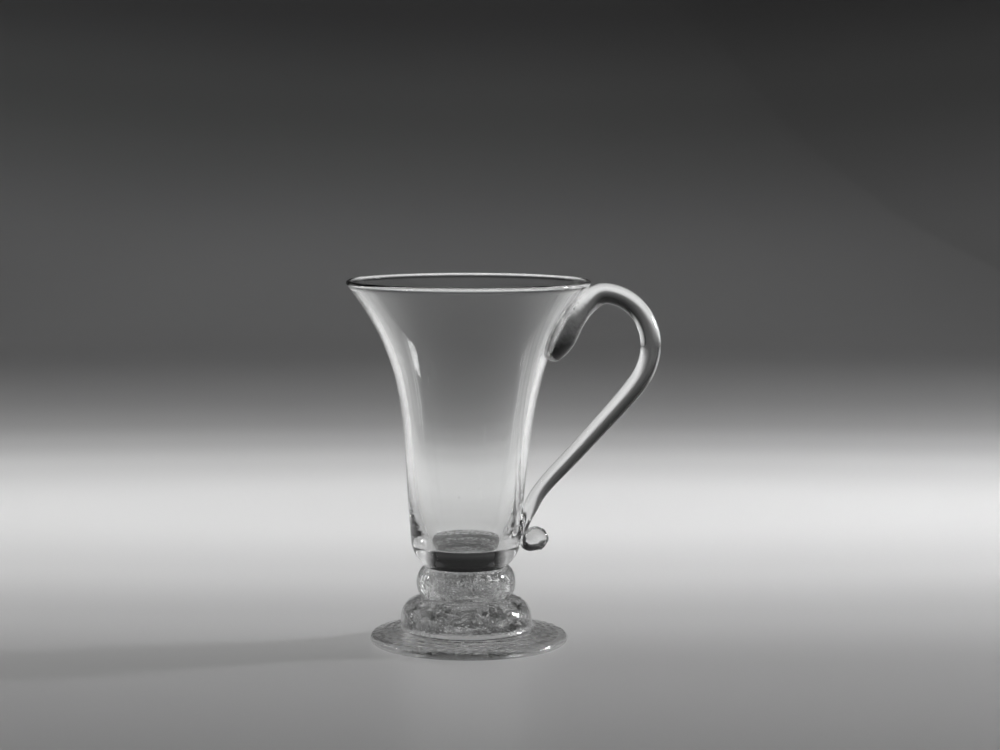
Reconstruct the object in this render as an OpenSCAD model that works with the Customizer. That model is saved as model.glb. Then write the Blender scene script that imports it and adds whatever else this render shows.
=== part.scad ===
// Jelly glass: a bell bowl with a solid base, on a beaded knop and a domed foot,
// with one drawn handle. Millimetres, +Z up, the handle towards +X.
// The origin is on the table, under the middle of the foot.

/* [Overall] */
// Height from the table to the top of the rim
total_h = 112; // [104:1:120]
// Flats used to draw each curve of a profile
curve_steps = 18; // [10:1:30]

/* [Bowl] */
// Outer diameter of the rim
rim_d = 74.8; // [68:0.2:82]
// Thickness of the rounded, fire-polished lip, which swells on the inside
lip_t = 1.8; // [1.7:0.1:2.2]
// Thickness of the wall just below the lip
lip_wall = 1.5; // [1.2:0.1:1.6]
// Lean of the flare at the lip, in degrees from upright
lip_lean = 38; // [30:1:46]
// Length of the flare's pull below the lip
flare_run = 28; // [22:1:34]
// Outer diameter of the barrel, just above the rounded base
barrel_d = 34; // [31:0.2:37]
// Outward lean of the barrel, in degrees from upright
barrel_lean = 4.2; // [2:0.1:6]
// Length of the barrel's pull above the rounded base
barrel_run = 42; // [34:1:48]
// Wall thickness up the barrel
barrel_wall = 2.3; // [1.8:0.1:2.8]
// How late the wall thins towards the lip: 1 thins evenly, more thins later
thinning = 4; // [2:0.5:6]
// Height of the rounded base, from the knop to the barrel
base_h = 8.2; // [7:0.2:10]
// Solid glass between the floor of the cavity and the knop
base_t = 5.6; // [4.6:0.1:7]
// Share of the flare, from the base up, below which the cavity tapers in to its floor
round_share = 0.3; // [0.22:0.01:0.36]
// Diameter of the cavity's floor
floor_d = 22.8; // [21:0.1:24]
// Rise of the floor from its middle to its corner
floor_dish = 0.9; // [0.4:0.1:1.2]
// Length of the small bend on both sides of the floor's corner
floor_bend = 0.6; // [0.4:0.1:1]
// Lean of the cavity's wall just above the floor, in degrees from upright
taper = 22; // [16:1:26]

/* [Knop] */
// Height of the knop, between the foot and the bowl
knop_h = 9.8; // [8:0.1:12]
// Diameter of the knop at its widest
knop_d = 30.6; // [29:0.1:34]
// Diameter of the neck between the bowl and the knop
neck_d = 25.6; // [22:0.1:27]
// Diameter of the seat between the knop and the foot
seat_d = 26.8; // [23:0.1:28]
// Thickness of the covering gather around the beaded core
cover_t = 2.6; // [2:0.1:3.4]
// Rows of trapped air beads
bead_rows = 3; // [2:1:4]
// Beads in each row
beads_in_row = 12; // [8:1:16]
// Diameter of one bead
bead_d = 1.5; // [0.8:0.1:2]

/* [Foot] */
// Outer diameter of the foot
foot_d = 60.8; // [54:0.2:68]
// Thickness of the foot at its rounded edge
edge_t = 2.8; // [2:0.1:4]
// Height of the step where the plate meets the dome
step_h = 4.4; // [3.4:0.1:5.6]
// Outer diameter of the dome
dome_d = 40.6; // [36:0.2:44]
// Height of the dome's top, where the knop sits
dome_h = 14; // [12:0.1:16]
// Thickness of the dome's wall and crown
dome_t = 5.7; // [4.8:0.1:6.4]
// Width of the flat ring that rests on the table
rest_w = 2; // [1.2:0.1:3]
// Rise of the plate's underside from the resting ring to the hollow
under_rise = 1.2; // [0.6:0.1:1.8]

/* [Pontil scar] */
// Diameter of the broken scar under the dome
scar_d = 13.6; // [10:0.2:16]
// Depth of the scar below the crown of the hollow
scar_t = 1.3; // [0.8:0.1:2]

/* [Handle] */
// Reach of the handle from the axis of the glass
reach = 59.2; // [54:0.2:66]
// Thickness of the strand round the loop
strand_t = 6.2; // [5:0.1:7.5]
// Width of the strand across the loop
strand_w = 7; // [5.5:0.1:8.5]
// Thickness of the strand at its thin lower end
low_t = 4.6; // [3.6:0.1:5.6]
// Width of the pad pressed on the wall under the rim
pad_w = 11; // [8:0.1:13]
// Drop from the rim to the tip of the pad
pad_drop = 24.4; // [20:0.2:29]
// Drop from the rim to the middle of the loop's outermost point
loop_drop = 20; // [16:0.5:25]
// Height of the curled tail above the table
tail_z = 32; // [30:0.5:36]
// Height of the curled tail from its underside to its top
tail_t = 7.6; // [5.6:0.1:8.6]
// Width of the curled tail, which is pinched flat
tail_w = 4.4; // [3.4:0.1:6]
// Reach of the curled tail from the wall of the bowl
tail_reach = 8; // [6.4:0.2:9]
// Sides of the strand's section
strand_sides = 28; // [16:4:32]
// Sections drawn between two stations of the strand
strand_steps = 5; // [3:1:6]

/* [Hidden] */
$fn = 96;

rim_r = rim_d / 2;
barrel_r = barrel_d / 2;
neck_r = neck_d / 2;
seat_r = seat_d / 2;
knop_r = knop_d / 2;
foot_r = foot_d / 2;
dome_r = dome_d / 2;
scar_r = scar_d / 2;
neck_z = dome_h + knop_h;
barrel_z = neck_z + base_h;
floor_z = neck_z + base_t;
crown_z = dome_h - dome_t;
crown_r = scar_r + 1;
glass = [0.86, 0.90, 0.90, 0.55];

// Point at t on a cubic curve with the control points c
function curve_at(c, t) =
    pow(1 - t, 3) * c[0] + 3 * pow(1 - t, 2) * t * c[1]
    + 3 * (1 - t) * t * t * c[2] + pow(t, 3) * c[3];

// Unit direction at t on the same curve
function curve_dir(c, t) =
    let (d = pow(1 - t, 2) * (c[1] - c[0]) + 2 * (1 - t) * t * (c[2] - c[1]) + t * t * (c[3] - c[2]))
    d / norm(d);

// Points along a cubic curve, from t = 0 to t = 1
function curve(c, n = curve_steps) = [for (i = [0:n]) curve_at(c, i / n)];

// Points of an arc about a centre, from angle a to angle b
function arc(centre, r, a, b, n = 8) =
    [for (i = [0:n]) centre + r * [cos(a + (b - a) * i / n), sin(a + (b - a) * i / n)]];

// Outline of the bowl, radius and height
up_lean = [sin(barrel_lean), cos(barrel_lean)];
up_lip = [sin(lip_lean), cos(lip_lean)];
lip_centre = [rim_r - lip_t / 2, total_h - lip_t / 2];
lip_edge = lip_centre + lip_t / 2 * [cos(lip_lean), -sin(lip_lean)];
barrel_foot = [barrel_r, barrel_z];
base_curve = [
    [neck_r, neck_z],
    [neck_r + 0.45 * (barrel_r - neck_r), neck_z + 0.25 * base_h],
    barrel_foot - 0.5 * base_h * up_lean,
    barrel_foot];
flare_curve = [
    barrel_foot,
    barrel_foot + barrel_run * up_lean,
    lip_edge - flare_run * up_lip,
    lip_edge];
outer_line = concat(curve(base_curve), [for (i = [1:2 * curve_steps]) curve_at(flare_curve, i / (2 * curve_steps))]);

// The inner wall follows the flare, thinning from the barrel to the lip
function inner_at(t) =
    let (d = curve_dir(flare_curve, t))
    curve_at(flare_curve, t) + (barrel_wall + (lip_wall - barrel_wall) * pow(t, thinning)) * [-d[1], d[0]];
// Turn of the lip's bead past the inner wall, and the share of the flare where the wall meets it
bead_turn = acos(2 * lip_wall / lip_t - 1);
lip_share = 1 - lip_t / 2 * sin(bead_turn) / (3 * flare_run);
round_top = inner_at(round_share);
// The floor is slightly dished and turns a small corner, from which the wall leans out to the flare
floor_r = floor_d / 2;
up_taper = [sin(taper), cos(taper)];
floor_corner = [floor_r, floor_z + floor_dish];
floor_end = floor_corner - floor_bend * [1, 2 * floor_dish / floor_r];
taper_start = floor_corner + floor_bend * up_taper;
taper_rise = round_top[1] - taper_start[1];
dish_curve = [[0, floor_z], [0.4 * floor_r, floor_z], [0.7 * floor_r, floor_z + 0.4 * floor_dish], floor_end];
bend_curve = [floor_end, floor_corner, floor_corner, taper_start];
taper_curve = [
    taper_start,
    taper_start + 0.3 * taper_rise * up_taper,
    round_top - 0.4 * taper_rise * curve_dir(flare_curve, round_share),
    round_top];
inner_line = concat(
    curve(dish_curve),
    [for (i = [1:4]) curve_at(bend_curve, i / 4)],
    [for (i = [1:curve_steps]) curve_at(taper_curve, i / curve_steps)],
    [for (i = [1:2 * curve_steps - 1])
        inner_at(round_share + (lip_share - round_share) * i / (2 * curve_steps))]);
function reversed(l) = [for (i = [len(l) - 1:-1:0]) l[i]];

// Radius of the bowl's outside at a height
function wall_r(z) = lookup(z, [for (p = outer_line) [p[1], p[0]]]);

// Outline of the knop and of the core inside it
knop_pull = (8 * knop_r - neck_r - seat_r) / 6;
knop_curve = [
    [neck_r, neck_z],
    [knop_pull, neck_z - 0.16 * knop_h],
    [knop_pull, dome_h + 0.16 * knop_h],
    [seat_r, dome_h]];
core_z = dome_h + 0.75 * cover_t;
core_foot_r = 0.6 * (seat_r - cover_t);
core_top_r = neck_r - cover_t;
core_pull = (8 * (knop_r - cover_t) - core_top_r - core_foot_r) / 6;
core_curve = [
    [core_top_r, neck_z],
    [core_pull, neck_z - 0.2 * knop_h],
    [core_pull, core_z + 0.1 * knop_h],
    [core_foot_r, core_z]];

// Outline of the foot, from the seat down the dome and round the edge to the hollow
edge_r = edge_t / 2;
hollow_r = dome_r - dome_t;
plate_end = [foot_r - edge_r, edge_t];
shoulder_curve = [
    [seat_r, dome_h],
    [seat_r + 0.75 * (dome_r - seat_r), dome_h - 0.04 * (dome_h - step_h)],
    [dome_r, dome_h - 0.3 * (dome_h - step_h)],
    [dome_r, dome_h - 0.8 * (dome_h - step_h)]];
cove_curve = [
    [dome_r, dome_h - 0.8 * (dome_h - step_h)],
    [dome_r, step_h + 0.3],
    [dome_r + 0.3, step_h],
    [dome_r + 1.3, step_h - 0.15]];
hollow_curve = [
    [hollow_r, under_rise],
    [hollow_r - 0.3, under_rise + 0.7 * (crown_z - under_rise)],
    [hollow_r - 0.2 * (hollow_r - crown_r), crown_z],
    [crown_r, crown_z]];
foot_line = concat(
    curve(shoulder_curve),
    [for (i = [1:curve_steps]) curve_at(cove_curve, i / curve_steps)],
    arc(plate_end - [0, edge_r], edge_r, 90, -90),
    [[foot_r - edge_r - rest_w, 0]],
    curve(hollow_curve),
    [[0, crown_z]]);

// Stations of the strand: radius from the axis, height, thickness in the loop's plane, width
strand_stations = [
    [wall_r(total_h - pad_drop) + 0.2, total_h - pad_drop, 0.6, 1.6],
    [wall_r(total_h - pad_drop + 2) + 1.4, total_h - pad_drop + 1.2, 4, 0.6 * pad_w],
    [wall_r(total_h - pad_drop + 6) + 2.6, total_h - pad_drop + 5.6, 6.6, 0.92 * pad_w],
    [wall_r(total_h - pad_drop + 11) + 2.6, total_h - pad_drop + 11, strand_t + 0.6, pad_w],
    [wall_r(total_h - 8.6) + 2.4, total_h - 8.6, strand_t + 1.2, 0.9 * pad_w],
    [rim_r + 1.5, total_h - 5, strand_t + 0.6, 0.3 * pad_w + 0.6 * strand_w],
    [0.5 * (rim_r + reach) - 4.9, total_h - 1 - strand_t / 2, strand_t, strand_w],
    [reach - strand_t / 2 - 6.6, total_h - 6.6, strand_t, strand_w],
    [reach - strand_t / 2 - 1.8, total_h - 12.4, strand_t, strand_w],
    [reach - strand_t / 2, total_h - loop_drop, strand_t, strand_w],
    [reach - strand_t / 2 - 1.6, total_h - loop_drop - 7, strand_t, strand_w],
    [reach - strand_t / 2 - 5.2, total_h - loop_drop - 13, strand_t, strand_w],
    [0.53 * (reach + barrel_r), 0.5 * (total_h + tail_z) - 4.8, 0.6 * strand_t + 0.4 * low_t, strand_w],
    [barrel_r + 10.8, tail_z + 21.4, 0.2 * strand_t + 0.8 * low_t, 0.94 * strand_w],
    [barrel_r + 5.6, tail_z + 15, low_t, 0.94 * strand_w],
    [wall_r(tail_z + 10) + 2.2, tail_z + 10, low_t, strand_w],
    [wall_r(tail_z + 5.6) + 1, tail_z + 5.6, 0.7 * low_t, 1.05 * strand_w],
    [wall_r(tail_z + 2) + 0.5, tail_z + 1.8, 0.44 * low_t, 1.05 * strand_w],
    [wall_r(tail_z) + 0.6, tail_z - 0.8, 0.56 * low_t, strand_w],
    [wall_r(tail_z) + 2.1, tail_z - 1.3, 0.68 * tail_t, 0.5 * (strand_w + tail_w)],
    [wall_r(tail_z) + 4.4, tail_z, tail_t, tail_w],
    [wall_r(tail_z) + tail_reach - 1.7, tail_z + 0.5, 0.82 * tail_t, 0.84 * tail_w],
    [wall_r(tail_z) + tail_reach - 0.4, tail_z + 0.7, 0.44 * tail_t, 0.5 * tail_w],
    [wall_r(tail_z) + tail_reach, tail_z + 0.8, 0.1 * tail_t, 0.12 * tail_w]];

// Station at t along the strand, on a smooth curve through all of them
last_station = len(strand_stations) - 1;
function station(i) = strand_stations[max(0, min(last_station, i))];
function strand_at(t) =
    let (i = min(floor(t), last_station - 1), u = t - i)
    let (a = station(i - 1), b = station(i), c = station(i + 1), d = station(i + 2))
    0.5 * (2 * b + (c - a) * u + (2 * a - 5 * b + 4 * c - d) * u * u + (3 * b - a - 3 * c + d) * u * u * u);

// One oval section of the strand, square to its run
function strand_ring(t) =
    let (s = strand_at(t), run = strand_at(min(last_station, t + 0.02)) - strand_at(max(0, t - 0.02)))
    let (along = [run[0], run[1]] / norm([run[0], run[1]]))
    [for (k = [0:strand_sides - 1])
        let (a = 360 * k / strand_sides, off = s[2] / 2 * cos(a))
        [s[0] + off * along[1], s[3] / 2 * sin(a), s[1] - off * along[0]]];

ring_count = last_station * strand_steps + 1;
strand_points = [for (i = [0:ring_count - 1]) each strand_ring(i / strand_steps)];
function ring_point(i, k) = i * strand_sides + k % strand_sides;
strand_faces = concat(
    [[for (k = [0:strand_sides - 1]) ring_point(0, k)]],
    [[for (k = [strand_sides - 1:-1:0]) ring_point(ring_count - 1, k)]],
    [for (i = [0:ring_count - 2], k = [0:strand_sides - 1])
        [ring_point(i, k), ring_point(i + 1, k), ring_point(i + 1, k + 1)]],
    [for (i = [0:ring_count - 2], k = [0:strand_sides - 1])
        [ring_point(i, k), ring_point(i + 1, k + 1), ring_point(i, k + 1)]]);

// Blown bowl: its outside, its rounded lip, and the cavity down to the solid base
module bowl() {
    color(glass)
        rotate_extrude()
            polygon(concat(
                [[0, neck_z]],
                outer_line,
                arc(lip_centre, lip_t / 2, -lip_lean, 180 - lip_lean + bead_turn, 10),
                reversed(inner_line)));
}

// Pricked gather under the bowl, with rows of pits that trap the air beads
module knop_core() {
    color(glass)
        difference() {
            rotate_extrude()
                polygon(concat([[0, neck_z]], curve(core_curve), [[0, core_z]]));
            for (row = [1:bead_rows]) {
                seat = curve_at(core_curve, row / (bead_rows + 1));
                for (k = [0:beads_in_row - 1])
                    rotate([0, 0, 360 * (k + 0.5 * (row % 2)) / beads_in_row])
                        translate([seat[0], 0, seat[1]])
                            sphere(d = bead_d, $fn = 24);
            }
        }
}

// Second gather that covers the core and makes the outside of the knop
module knop_cover() {
    color(glass)
        rotate_extrude()
            polygon(concat(
                curve(knop_curve),
                [[0, dome_h], [0, core_z]],
                reversed(curve(core_curve))));
}

// Domed foot with a rounded edge, hollow below, resting on a flat ring
module foot() {
    color(glass)
        rotate_extrude()
            polygon(concat([[0, dome_h]], foot_line));
}

// Broken remnant of the rod that held the glass while the rim was worked
module pontil_scar() {
    color(glass)
        translate([0, 0, crown_z - scar_t])
            difference() {
                linear_extrude(scar_t)
                    polygon([for (a = [0:8:352])
                        scar_r * (1 - 0.05 * (1 + sin(3 * a + 20)) / 2 - 0.04 * (1 + sin(8 * a)) / 2)
                        * [cos(a), sin(a)]]);
                translate([0, 0, 0.55 * scar_t - 2 * scar_r])
                    sphere(r = 2 * scar_r);
            }
}

// Drawn handle: a pad under the rim, the loop, and a tail curled out from the wall
module handle() {
    color(glass)
        difference() {
            polyhedron(strand_points, strand_faces);
            rotate_extrude()
                polygon(concat([[0, neck_z]], outer_line, [[0, total_h]]));
        }
}

bowl();
knop_core();
knop_cover();
foot();
pontil_scar();
handle();
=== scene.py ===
import math

import bpy
import numpy as np
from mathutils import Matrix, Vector


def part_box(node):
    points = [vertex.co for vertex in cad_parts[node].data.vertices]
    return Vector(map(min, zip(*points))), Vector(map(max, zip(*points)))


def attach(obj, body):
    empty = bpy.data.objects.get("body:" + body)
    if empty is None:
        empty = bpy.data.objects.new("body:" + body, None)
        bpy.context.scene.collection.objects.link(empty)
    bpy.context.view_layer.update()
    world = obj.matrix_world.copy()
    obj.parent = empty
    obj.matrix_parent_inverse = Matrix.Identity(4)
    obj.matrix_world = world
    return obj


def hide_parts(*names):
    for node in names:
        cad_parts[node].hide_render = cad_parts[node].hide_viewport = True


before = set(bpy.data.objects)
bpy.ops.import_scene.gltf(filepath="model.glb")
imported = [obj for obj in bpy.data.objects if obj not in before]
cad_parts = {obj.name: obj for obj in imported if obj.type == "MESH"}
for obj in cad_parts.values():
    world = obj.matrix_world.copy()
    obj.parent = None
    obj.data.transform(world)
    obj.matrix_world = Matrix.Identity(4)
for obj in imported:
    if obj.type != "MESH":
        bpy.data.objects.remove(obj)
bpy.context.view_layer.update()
print("frame loaded:", sorted(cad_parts))

mm = 0.001  # shapes below are worked out in millimetres
# finish of a free surface, of a fused seam, of a surface worked more than the rest (on the bowl, the cavity
# floor, also darkened in spots by painted shade), and of a crease darkened in spots by painted shade
openSlot, seamSlot, workedSlot, shadedCreaseSlot = 0, 1, 2, 3


def nodeSpan(node):
    # a node's lowest and highest corner, in millimetres
    low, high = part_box(node)
    return np.array(low) / mm, np.array(high) / mm


bowlLow, bowlHigh = nodeSpan("bowl")
coverLow, coverHigh = nodeSpan("knop_cover")
coreLow = nodeSpan("knop_core")[0]
footHigh = nodeSpan("foot")[1]
scarLow, scarHigh = nodeSpan("pontil_scar")
handleHigh = nodeSpan("handle")[1]


# camera at the photograph's angle, fitted to the ellipses of rim and foot
cameraForm = {"lens": 90.0, "sensor": 36.0, "place": (0.0096, -0.7629, 0.1588), "lookDown": 5.69}


def makeCamera(form):
    data = bpy.data.cameras.new("camera")
    data.lens = form["lens"]
    data.sensor_width = form["sensor"]
    data.clip_start = 0.01
    camera = bpy.data.objects.new("camera", data)
    bpy.context.scene.collection.objects.link(camera)
    camera.location = form["place"]
    camera.rotation_euler = (math.radians(90 - form["lookDown"]), 0, 0)
    bpy.context.scene.camera = camera


makeCamera(cameraForm)
print("camera set")


# curves, surfaces and meshes


def bezierAt(points, t):
    # cubic curve: the four points weighted by the cube terms of (1 - t) and t
    p = np.array(points, float)
    t = np.asarray(t)[:, None]
    return (1 - t) ** 3 * p[0] + 3 * (1 - t) ** 2 * t * p[1] + 3 * (1 - t) * t**2 * p[2] + t**3 * p[3]


def bezier(points, count, skipFirst=False):
    # the same curve at even steps, with or without its first point
    line = bezierAt(points, np.linspace(0, 1, count))
    return line[1:] if skipFirst else line


def bezierRun(points, t):
    # unit direction of the same curve, from its first derivative
    p = np.array(points, float)
    t = np.asarray(t)[:, None]
    run = (1 - t) ** 2 * (p[1] - p[0]) + 2 * (1 - t) * t * (p[2] - p[1]) + t**2 * (p[3] - p[2])
    return run / np.linalg.norm(run, axis=1, keepdims=True)


def arcLine(centre, radius, start, end, count):
    # points on a circle about a centre, between two angles in degrees
    a = np.radians(np.linspace(start, end, count))
    return np.array(centre) + radius * np.stack([np.cos(a), np.sin(a)], -1)


def smoothStep(low, high, x):
    # 0 up to low, 1 from high on, and a cubic with level ends between
    t = np.clip((x - low) / (high - low), 0, 1)
    return t * t * (3 - 2 * t)


def flatDisc(radius, height, count):
    # points of a level line from the axis out to a radius, without the last one
    return np.stack([np.linspace(0, radius, count)[:-1], np.full(count - 1, height)], -1)


# the maker's hand: base, knop and dome sit a little to the left of rim and foot edge
leanForm = {"shift": -0.9, "startZ": (2.5, 8.0), "endZ": (40.0, 88.0)}


def leanOf(z):
    # sideways shift at a height: it comes in above the plate and goes out again up the bowl
    rise = smoothStep(*leanForm["startZ"], z)
    fall = 1 - smoothStep(*leanForm["endZ"], z)
    return leanForm["shift"] * rise * fall


def turnAngles(count, crowd=0.0):
    # angles round the axis; crowd draws the columns together on the handle's side
    t = np.linspace(0, 2 * np.pi, count, endpoint=False)
    return t - crowd * np.sin(t)


def revolve(line, angles, ripple=None):
    # surface of two parameters: a point of the profile line, turned about the axis by an angle;
    # ripple(radius, height, angle) adds to the radius and the height
    radius = np.repeat(line[:, :1], len(angles), axis=1)
    height = np.repeat(line[:, 1:2], len(angles), axis=1)
    if ripple is not None:
        addRadius, addHeight = ripple(radius, height, angles[None, :])
        radius = np.maximum(radius + addRadius, 0.01)
        height = height + addHeight
    x = radius * np.cos(angles)
    y = radius * np.sin(angles)
    return np.stack([x, y, height], -1)


def closedTurn(line, slots, angles, ripple=None):
    # a solid of revolution whose profile starts and ends on the axis: rings joined by quads, with a
    # fan at each pole; slots gives the finish of the band after each profile point
    rings = revolve(line[1:-1], angles, ripple)
    rows, cols = rings.shape[:2]
    poles = np.array([[0, 0, line[0, 1]], [0, 0, line[-1, 1]]])
    points = np.concatenate([rings.reshape(-1, 3), poles])
    i = np.arange(rows - 1)[:, None] * cols
    j = np.arange(cols)[None, :]
    k = (j + 1) % cols
    quads = np.stack([i + j, i + k, i + cols + k, i + cols + j], -1).reshape(-1, 4)
    quadSlots = np.repeat(np.asarray(slots)[1:rows], cols)
    first = np.full(cols, rows * cols)
    last = first + 1
    end = (rows - 1) * cols
    fans = np.concatenate([
        np.stack([first, k[0], j[0]], -1),
        np.stack([end + j[0], end + k[0], last], -1)])
    fanSlots = np.repeat([slots[0], slots[rows]], cols)
    return points, quads, fans, quadSlots, fanSlots


airForm = {"sides": 6, "rings": 4, "gap": 0.05}


def keepApart(places, sizes):
    # a bead that would touch one made before it is left out
    gap = np.linalg.norm(places[:, None] - places[None], axis=2) - sizes[:, None] - sizes[None]
    clash = np.triu(gap < airForm["gap"], 1).any(axis=0)
    return places[~clash], sizes[~clash]


def airShells(places, sizes, stretch=(1, 1, 0.85)):
    # small closed shells of air in the glass: spheres stretched along the axes, so their faces look inwards
    sides, rings = airForm["sides"], airForm["rings"]
    a = np.linspace(0, 2 * np.pi, sides, endpoint=False)
    b = np.linspace(-np.pi / 2, np.pi / 2, rings + 1)[1:-1]
    ring = np.stack([np.cos(b)[:, None] * np.cos(a), np.cos(b)[:, None] * np.sin(a),
                     np.sin(b)[:, None] + 0 * a], -1).reshape(-1, 3)
    ball = np.concatenate([ring, [[0, 0, -1], [0, 0, 1]]]) * stretch
    i = np.arange(rings - 2)[:, None] * sides
    j = np.arange(sides)[None, :]
    k = (j + 1) % sides
    quads = np.stack([i + sides + j, i + sides + k, i + k, i + j], -1).reshape(-1, 4)
    low, high, top = len(ring), len(ring) + 1, (rings - 2) * sides
    fans = np.concatenate([
        np.stack([j[0], k[0], np.full(sides, low)], -1),
        np.stack([np.full(sides, high), top + k[0], top + j[0]], -1)])
    points = places[:, None, :] + sizes[:, None, None] * ball[None]
    step = len(ball) * np.arange(len(places))[:, None, None]
    return points.reshape(-1, 3), (quads + step).reshape(-1, 4), (fans + step).reshape(-1, 3)


def joined(shell, airs):
    # a piece's own shell and the air in it as one list of points, faces and slots
    points, quads, fans, quadSlots, fanSlots = shell
    faces = quads.tolist() + fans.tolist()
    slots = [quadSlots, fanSlots]
    for airPoints, airQuads, airFans in airs:
        faces += (airQuads + len(points)).tolist() + (airFans + len(points)).tolist()
        slots.append(np.full(len(airQuads) + len(airFans), openSlot))
        points = np.concatenate([points, airPoints])
    return points, faces, np.concatenate(slots)


def addPiece(name, points, faces, faceSlots, finishes, creaseAngle=35):
    # one mesh object at the origin, smooth but for its creases
    mesh = bpy.data.meshes.new(name)
    mesh.from_pydata((np.asarray(points) * mm).tolist(), [], faces)
    for finish in finishes:
        mesh.materials.append(finish)
    mesh.polygons.foreach_set("material_index", np.asarray(faceSlots, np.int32))
    mesh.polygons.foreach_set("use_smooth", np.ones(len(mesh.polygons), bool))
    mesh.set_sharp_from_angle(angle=math.radians(creaseAngle))
    mesh.validate()
    mesh.update()
    piece = bpy.data.objects.new(name, mesh)
    bpy.context.scene.collection.objects.link(piece)
    return piece


def settle(piece, node):
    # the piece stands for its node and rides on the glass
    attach(piece, "root")
    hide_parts(node)
    print("piece made:", piece.name, len(piece.data.polygons), "faces")


# finishes


def newGroup(name, inputs, outputs):
    # shader group with named number inputs and outputs
    group = bpy.data.node_groups.new(name, "ShaderNodeTree")
    for label, kind, value in inputs:
        socket = group.interface.new_socket(label, in_out="INPUT", socket_type=kind)
        socket.default_value = value
    for label, kind in outputs:
        group.interface.new_socket(label, in_out="OUTPUT", socket_type=kind)
    return group, group.nodes.new("NodeGroupInput"), group.nodes.new("NodeGroupOutput")


def addNode(tree, kind, **settings):
    # a new node of a kind, with its settings
    node = tree.nodes.new(kind)
    for key, value in settings.items():
        setattr(node, key, value)
    return node


def blownGlassGroup():
    # hand-blown surface: upright striae, level tool rings, a slow swell, small lumps and a fine grain,
    # summed as a height; a mask of fine wear, and frost all over, summed as a roughness; a tint that is
    # darkened in spots by painted shade
    group, given, put = newGroup(
        "blownSurface",
        [("Striae", "NodeSocketFloat", 1.0), ("Rings", "NodeSocketFloat", 1.0),
         ("Swell", "NodeSocketFloat", 1.0), ("Lumps", "NodeSocketFloat", 0.0),
         ("Grain", "NodeSocketFloat", 0.0), ("Wear", "NodeSocketFloat", 1.0),
         ("Frost", "NodeSocketFloat", 0.0), ("PaintedShade", "NodeSocketFloat", 0.0)],
        [("Height", "NodeSocketFloat"), ("Roughness", "NodeSocketFloat"), ("Tint", "NodeSocketColor")])
    link = group.links.new
    place = addNode(group, "ShaderNodeTexCoord")

    def noise(scale, stretch, detail):
        mapping = addNode(group, "ShaderNodeMapping")
        mapping.inputs["Scale"].default_value = stretch
        link(place.outputs["Object"], mapping.inputs["Vector"])
        texture = addNode(group, "ShaderNodeTexNoise")
        texture.inputs["Scale"].default_value = scale
        texture.inputs["Detail"].default_value = detail
        link(mapping.outputs["Vector"], texture.inputs["Vector"])
        return texture.outputs["Fac"]

    def times(a, b):
        node = addNode(group, "ShaderNodeMath", operation="MULTIPLY")
        link(a, node.inputs[0])
        if isinstance(b, float):
            node.inputs[1].default_value = b
        else:
            link(b, node.inputs[1])
        return node.outputs[0]

    def plus(a, b):
        node = addNode(group, "ShaderNodeMath", operation="ADD")
        link(a, node.inputs[0])
        link(b, node.inputs[1])
        return node.outputs[0]

    striae = times(noise(260.0, (1, 1, 0.06), 2.0), given.outputs["Striae"])
    rings = times(noise(420.0, (0.05, 0.05, 1), 2.0), given.outputs["Rings"])
    swell = times(noise(60.0, (1, 1, 1), 1.0), given.outputs["Swell"])
    grain = times(noise(1500.0, (0.6, 0.6, 1), 3.0), given.outputs["Grain"])
    lines = plus(times(striae, 0.25), times(rings, 0.18))
    lumps = times(noise(380.0, (1, 1, 1), 2.0), given.outputs["Lumps"])
    link(plus(plus(lines, swell), plus(lumps, grain)), put.inputs["Height"])

    wear = addNode(group, "ShaderNodeMapRange")
    wear.inputs["From Min"].default_value = 0.56
    wear.inputs["From Max"].default_value = 0.78
    wear.inputs["To Max"].default_value = 0.06
    link(noise(700.0, (1, 1, 1), 6.0), wear.inputs["Value"])
    worn = times(wear.outputs["Result"], given.outputs["Wear"])
    link(plus(worn, given.outputs["Frost"]), put.inputs["Roughness"])

    tint = addNode(group, "ShaderNodeMix", data_type="RGBA")
    tint.inputs["A"].default_value = (0.975, 0.98, 0.978, 1)
    tint.inputs["B"].default_value = (0.995, 0.997, 0.995, 1)
    link(noise(35.0, (1, 1, 1), 2.0), tint.inputs["Factor"])
    # painted shade: dark spots mixed into the tint by the amount given
    shadeSpots = addNode(group, "ShaderNodeMapRange")
    shadeSpots.inputs["From Min"].default_value = 0.36
    shadeSpots.inputs["From Max"].default_value = 0.6
    link(noise(900.0, (1, 1, 1), 3.0), shadeSpots.inputs["Value"])
    shadedTint = addNode(group, "ShaderNodeMix", data_type="RGBA")
    shadedTint.inputs["B"].default_value = (0.16, 0.16, 0.155, 1)
    link(times(shadeSpots.outputs["Result"], given.outputs["PaintedShade"]), shadedTint.inputs["Factor"])
    link(tint.outputs["Result"], shadedTint.inputs["A"])
    link(shadedTint.outputs["Result"], put.inputs["Tint"])
    return group


blownSurface = blownGlassGroup()
glassIor = 1.55


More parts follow.
